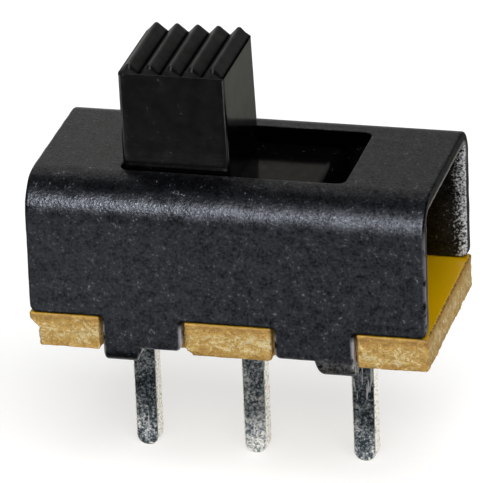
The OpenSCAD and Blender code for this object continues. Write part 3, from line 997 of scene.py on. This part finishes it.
# The wall bends' outer radii, front and back
BEND_RADII = {-1: 1.35, 1: 1.0}
BEND_LINES = 24
FOLD_LINES = 6
INNER_BEND = 0.3
INNER_FOLD = 0.04
END_CORNER = 0.25
SLOT_LENGTH = 7.59
SLOT_WIDTH = 4.2
SLOT_CORNER = 0.25
SLOT_CLEAR = 0.16
TAB_WIDTH = 2.7
TAB_SHORT = 0.1
TAB_CORNER = 0.2
TAB_ROOT = 0.1
EAR_WIDTH = 1.35
EAR_TAPER = 0.25
EAR_REACH = 1.2
EAR_CORNER = 0.06
EDGE_WEAR = 0.008
EDGE_WAVE = 0.012

frame_low, frame_high = box_of("frame")
end_x = frame_high.x
half_width = frame_high.y
# Where each wall's bend starts and ends, where the terminal board's underside lies, and where
# the ears' fold ends, front and back, as distances along the outside from the top's middle
marks = {}
for side, radius in BEND_RADII.items():
    bend_start = half_width - radius
    bend_end = bend_start + radius * math.pi / 2
    underside = bend_end + frame_high.z - radius
    marks[side] = (bend_start, bend_end, underside, underside + SHEET * math.pi / 2)


def wall_edge(side):
    """The blank's edge along one wall and its two tabs, from one end to the other."""
    _, _, underside, turned = marks[side]
    wall_foot = underside - board_high.z
    tab_foot = underside - TAB_SHORT
    ear_end = turned + EAR_REACH - SHEET
    corners = [(-end_x, -wall_foot, END_CORNER)]
    for tab in (-1, 1):
        outer = tab * (TAB_CENTRE + TAB_WIDTH / 2)
        inner = tab * (TAB_CENTRE - TAB_WIDTH / 2)
        root = outer - tab * EAR_WIDTH
        turned_in = [(outer, -wall_foot, TAB_ROOT), (outer, -ear_end, EAR_CORNER),
                     (root + tab * EAR_TAPER, -ear_end, EAR_CORNER),
                     (root + tab * EAR_TAPER, -turned, 0), (root, -tab_foot, 0),
                     (inner, -tab_foot, TAB_CORNER), (inner, -wall_foot, TAB_ROOT)]
        corners += turned_in if tab < 0 else turned_in[::-1]
    corners.append((end_x, -wall_foot, END_CORNER))
    return [(-side * x, -side * y, radius) for x, y, radius in corners]


def worn_edge(x, y, z):
    """The slight waviness of a sheared edge."""
    return EDGE_WEAR + EDGE_WAVE * noise.noise(Vector((x * 2.3, y * 2.3, z * 3)))


def inner_run(outer_run):
    """The distance along the inside of the folded sheet for one along its outside."""
    side = math.copysign(1, outer_run)
    bend_start, bend_end, underside, turned = marks[side]
    inner_corner = half_width - SHEET - INNER_BEND + INNER_BEND * math.pi / 2
    inner_end = inner_corner + BEND_RADII[side] - SHEET - INNER_BEND
    inner_fold = inner_end + underside - bend_end - INNER_FOLD
    inner_turned = inner_fold + INNER_FOLD * math.pi / 2
    return side * float(np.interp(
        abs(outer_run), [0, bend_start, bend_end, underside, turned, turned + PAST_EARS],
        [0, bend_start, inner_end, inner_fold, inner_turned, inner_turned + PAST_EARS]))


folds = []
for side, (bend_start, bend_end, underside, turned) in marks.items():
    for start, stop, count in ((bend_start, bend_end, BEND_LINES),
                               (underside, turned, FOLD_LINES)):
        folds += [side * (start + (stop - start) * k / count) for k in range(count + 1)]
        folds += [side * (start - SUPPORT), side * (stop + SUPPORT)]
half_x = SLOT_LENGTH / 2
half_y = SLOT_WIDTH / 2
blank = [wall_edge(-1) + wall_edge(1), rectangle(0, half_x, half_y, SLOT_CORNER)[::-1]]
lines = []
for fold in folds:
    wall_foot = marks[math.copysign(1, fold)][2] - board_high.z
    if half_y + SLOT_CLEAR < abs(fold) < wall_foot:
        lines.append([Vector((-end_x + END_CORNER, fold)), Vector((end_x - END_CORNER, fold))])
    elif abs(fold) < wall_foot:
        lines += [[Vector((side * (end_x - END_CORNER), fold)),
                   Vector((side * (half_x + SLOT_CORNER), fold))] for side in (-1, 1)]
points, faces, rims = plate(blank, SHEET, OUTER_ROLL, INNER_ROLL, SHEET_STEP, folds=folds,
                            lines=lines, wear=worn_edge)
shell = piece_from("shell", points, faces, rims)
for name, values in (("inner_run", [inner_run(y) * MM for x, y, z in points]),
                     ("inside", [min(1, -z / SHEET) for x, y, z in points])):
    shell.data.attributes.new(name, "FLOAT", "POINT").data.foreach_set("value", values)
grown(shell, folded_sheet_tree(), {
    "Section Width": half_width * 2 * MM, "Front Bend": BEND_RADII[-1] * MM,
    "Section Height": (frame_high.z - frame_low.z) * MM, "Back Bend": BEND_RADII[1] * MM,
    "Inner Bend": INNER_BEND * MM, "Inner Fold": INNER_FOLD * MM,
    "Thickness": SHEET * MM, "Finish": blackened_steel()})
shell.data.transform(Matrix.Translation(
    Vector((0, 0, (frame_high.z + frame_low.z) / 2)) * MM))
shell.data.shade_smooth()
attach(shell, "switch_body")
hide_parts("frame")


# ---------------------------------------------------------------- Moving contact
# A strip of phosphor bronze with its ends turned up. Two round bumps pressed down near the
# ends bridge neighbouring terminals, and a pip in the middle keeps the spring in place.
STRIP = 0.2
STRIP_LOW = 1.89
STRIP_EDGE = 0.03
STRIP_STEPS = 58
WIDTH_STEPS = 24
LIP_STEPS = 8
LIP_BEND = 1.5 * STRIP
BUMP_RADIUS = 0.8
BUMP_DEPTH = 0.35
BUMP_SPREAD = 1.905
PIP_DIAMETER = 1.2
PIP_HEIGHT = 0.25
PIP_SLOPE = 0.1
BRIDGE_SHARP_ANGLE = 50

contact_low, contact_high = box_of("bridge_contact")
half_strip = (contact_high.x - contact_low.x) / 2 - STRIP / 2
half_y = contact_high.y
lip_start = half_strip - LIP_BEND
lip_end = lip_start + LIP_BEND * math.pi / 2
strip_end = lip_end + contact_high.z - STRIP_LOW - STRIP / 2 - LIP_BEND
strip_middle = STRIP_LOW + STRIP / 2
lengths = sorted({round(side * length, 4) for side in (-1, 1) for length in
                  [lip_start * k / STRIP_STEPS for k in range(STRIP_STEPS + 1)]
                  + [lip_start + (lip_end - lip_start) * k / LIP_STEPS
                     for k in range(LIP_STEPS + 1)]
                  + [strip_end - STRIP_EDGE, strip_end]})
widths = [-half_y, STRIP_EDGE - half_y,
          *(half_y * (k / WIDTH_STEPS - 1) for k in range(2, 2 * WIDTH_STEPS - 1)),
          half_y - STRIP_EDGE, half_y]


def on_strip(s, y):
    """The middle of the strip's thickness, and the way out of its upper face."""
    side = 1 if s > 0 else -1
    s = abs(s)
    if s > lip_start:
        turn = min(s - lip_start, lip_end - lip_start) / LIP_BEND
        x = lip_start + LIP_BEND * math.sin(turn)
        z = strip_middle + LIP_BEND * (1 - math.cos(turn)) + max(0, s - lip_end)
        return Vector((side * x, y, z)), Vector((-side * math.sin(turn), 0, math.cos(turn)))
    off_bump = math.hypot(s - BUMP_SPREAD, y)
    drop = math.sqrt(max(0, BUMP_RADIUS ** 2 - off_bump ** 2)) - (BUMP_RADIUS - BUMP_DEPTH)
    off_pip = math.hypot(s, y) - PIP_DIAMETER / 2
    rise = 0
    if off_bump > BUMP_RADIUS:
        rise = PIP_HEIGHT * min(1, max(0, 0.5 - off_pip / PIP_SLOPE))
    return Vector((side * s, y, strip_middle + rise - max(0, drop))), Vector((0, 0, 1))


upper_face, lower_face = [], []
for s in lengths:
    for y in widths:
        middle, out = on_strip(s, y)
        middle.x += slider_x
        upper_face.append(middle + out * STRIP / 2)
        lower_face.append(middle - out * STRIP / 2)
rows, columns = len(lengths), len(widths)
under = rows * columns
strip_faces = []
for i in range(rows - 1):
    for a in range(i * columns, (i + 1) * columns - 1):
        b = a + columns
        strip_faces += [(a, b, b + 1, a + 1), (under + a, under + a + 1, under + b + 1, under + b)]
# The strip's border, down one side, along its end, up the other side and back
border = [i * columns for i in range(rows)]
border += range(under - columns + 1, under)
border += [i * columns - 1 for i in range(rows - 1, 0, -1)]
border += range(columns - 2, 0, -1)
strip_faces += [(a, under + a, under + b, b) for a, b in zip(border, border[1:] + border[:1])]
bridge = piece_from("bridge_strip", upper_face + lower_face, strip_faces)
bridge.data.set_sharp_from_angle(angle=math.radians(BRIDGE_SHARP_ANGLE))
# Rolled phosphor bronze is a warm, fairly bright metal with a faint grain along the strip
bridge.data.materials.append(drawn_metal(
    "phosphor_bronze", (0.2, 1, 1), 0.06, 3, "#a8703c", "#dca871", 0.3))
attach(bridge, "slider_body")
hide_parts("bridge_contact")


# ---------------------------------------------------------------- Studio
# The switch stands on its terminals on a pale floor, under a banded pale sky and two lamps.
# Three grey cards, which only reflections show, keep the shell's faces dark.
FLOOR_HALF = 1000
CARD_RISE = 0.2
LAMP_DISTANCE = 700
FLOOR_LIFT = 0.64


def matt_card(name, colour):
    """Matt card, which throws back no highlight."""
    material, tree, surface = new_material(name)
    join(tree, surface, {"Base Color": colour, "Roughness": 1, "Specular IOR Level": 0})
    return material


def pale_floor():
    """A matt white card that shows as plain white and keeps the switch's shadow."""
    material = matt_card("pale_floor", "#b8b8b8")
    tree = material.node_tree
    rays = add(tree, "ShaderNodeLightPath").outputs
    seen = add(tree, MATH, (rays["Is Camera Ray"], rays["Is Glossy Ray"]))
    shown = add(tree, MATH, (seen, rays["Is Transmission Ray"]))
    lift = add(tree, MATH, (shown, FLOOR_LIFT), operation="MULTIPLY")
    join(tree, tree.nodes["Principled BSDF"], {
        "Emission Color": "#ffffff", "Emission Strength": lift})
    return material


def flat_card(name, half, near, far, finish):
    """A card from side to side between its near and far edges, each given as Y and Z."""
    made = piece_from(name, [(-half, *near), (half, *near), (half, *far), (-half, *far)],
                      [(0, 1, 2, 3)])
    made.data.materials.append(finish)
    return made


floor_z = box_of("terminal_left")[0].z
card_z = floor_z + CARD_RISE
for name, colour, half, near, far in (
        ("front_card", "#6f6f6f", 60, (-27, card_z), (-27, 12)),
        ("near_card", "#505356", 60, (-12, card_z), (-2, card_z)),
        ("back_card", "#84847e", 80, (14, card_z), (90, card_z))):
    card = flat_card(name, half, near, far, matt_card(name, colour))
    card.visible_camera = False
    card.visible_diffuse = False
    card.visible_shadow = False
    card.visible_transmission = False
floor = flat_card("floor", FLOOR_HALF, (-FLOOR_HALF, floor_z), (FLOOR_HALF, floor_z),
                  pale_floor())

# The highlight lamp stands by the lens, and only reflections show it. The main lamp hangs
# high in front, and reflections don't show it
for name, way, size, energy in (("highlight_lamp", (0.03, -0.88, 0.46), 200, 6.6),
                                ("main_lamp", (0.3, -0.6, 1), 700, 6)):
    lamp = new_object(name, bpy.data.lights.new(name, "AREA"))
    lamp.data.shape = "DISK"
    lamp.data.size = size * MM
    lamp.data.energy = energy
    way = Vector(way).normalized()
    lamp.location = way * LAMP_DISTANCE * MM
    lamp.rotation_euler = way.to_track_quat("Z", "Y").to_euler()
    lamp.visible_glossy = name == "highlight_lamp"
    lamp.visible_diffuse = name == "main_lamp"

world = bpy.data.worlds.new("pale_sky")
bpy.context.scene.world = world
world.use_nodes = True
sky = world.node_tree
direction = add(sky, "ShaderNodeTexCoord").outputs["Generated"]
x, y, z = add(sky, "ShaderNodeSeparateXYZ", (direction,)).outputs
# From the horizon behind the switch, 0, over the top, 0.5, to the one before it, 1
height = add(sky, MATH, (z, 0), operation="MAXIMUM")
over = add(sky, MATH, (height, y), operation="ARCTAN2")
round_top = add(sky, MATH, (over, math.pi), operation="DIVIDE")
tone = add(sky, "ShaderNodeValToRGB", (round_top,), stops=(
    (0, "#d2d2d0"), (0.05, "#c8c8c6"), (0.13, "#9a9890"), (0.28, "#d0cec6"),
    (0.37, "#fbfaf6"), (0.42, "#262626"), (1, "#343434")))
# The sky is darker to the right, where the room has no pale wall
side = add(sky, RANGE, (x, 0.05, 0.4, 1, 0.2))
shade = add(sky, MIX, (1, tone, side), data_type="RGBA", blend_type="MULTIPLY")
join(sky, sky.nodes["Background"], {"Color": shade})

bpy.context.scene.view_settings.view_transform = "Standard"
